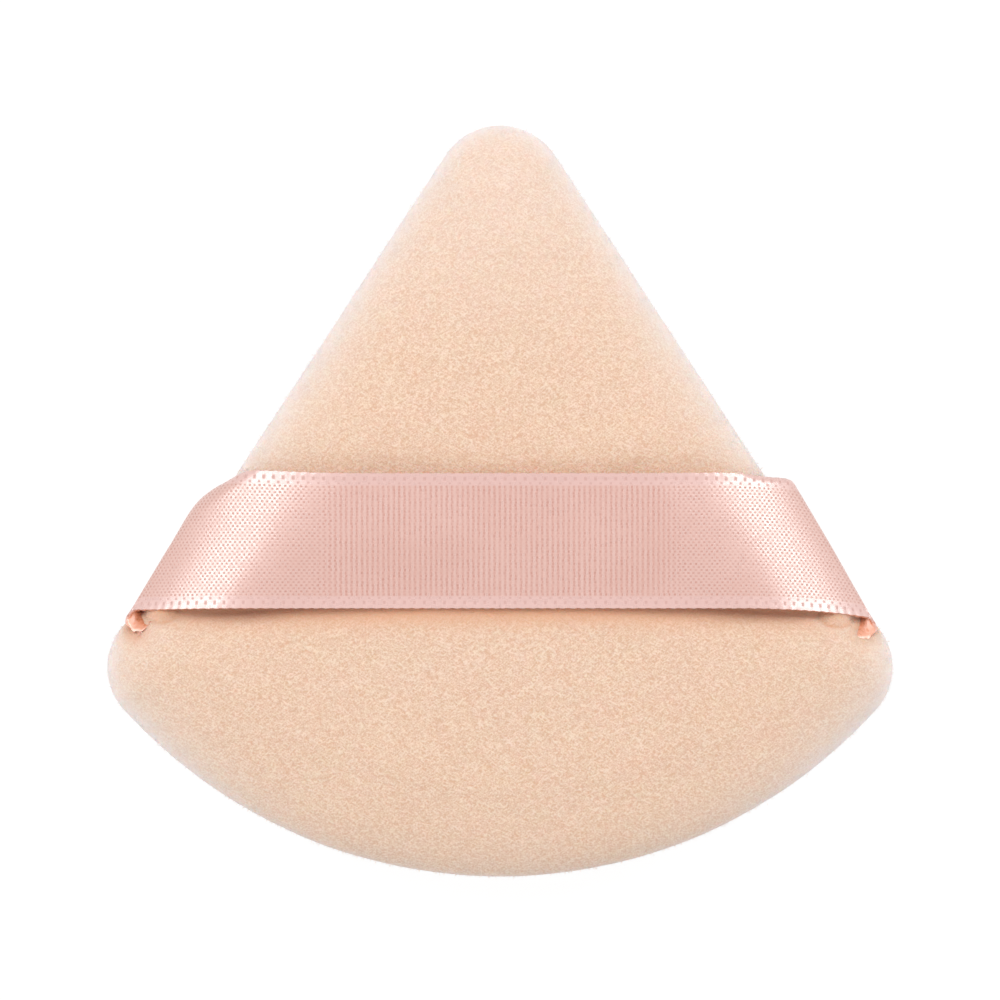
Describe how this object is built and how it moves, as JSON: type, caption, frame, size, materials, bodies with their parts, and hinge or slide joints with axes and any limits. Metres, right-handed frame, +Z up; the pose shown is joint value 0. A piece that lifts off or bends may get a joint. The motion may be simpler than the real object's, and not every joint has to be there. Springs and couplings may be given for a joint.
{
  "type": "powder puff",
  "caption": "Rounded triangular velour powder puff with a foam core and a satin finger ribbon sewn across its front, which lifts so that fingers slip under it.",
  "frame": {"origin": "middle of the puff's outline, on the surface that its back rests on", "axes": "+X along the ribbon, +Y from the bottom curve to the apex, +Z up from the back through the ribbon side"},
  "size_m": [0.075, 0.0716, 0.0122],
  "materials": {
    "velour": "short-pile peach velour",
    "satin": "dusty pink woven satin",
    "foam": "fine open-cell foam",
    "thread": "spun polyester thread"
  },
  "bodies": {
    "pad": {"foam_core": "foam", "front_cover": "velour", "back_cover": "velour", "ribbon_left_end": "satin", "ribbon_right_end": "satin", "seam_needle_thread": "thread", "seam_bobbin_thread": "thread", "closing_thread": "thread", "ribbon_left_tack": "thread", "ribbon_right_tack": "thread"},
    "ribbon": {"finger_ribbon": "satin"}
  },
  "joints": [
    {"name": "ribbon_lift", "type": "slide", "parent": "pad", "child": "ribbon", "axis": [0, 0, 1], "range_m": [0, 0.007], "stiffness_N_per_m": 4}
  ]
}
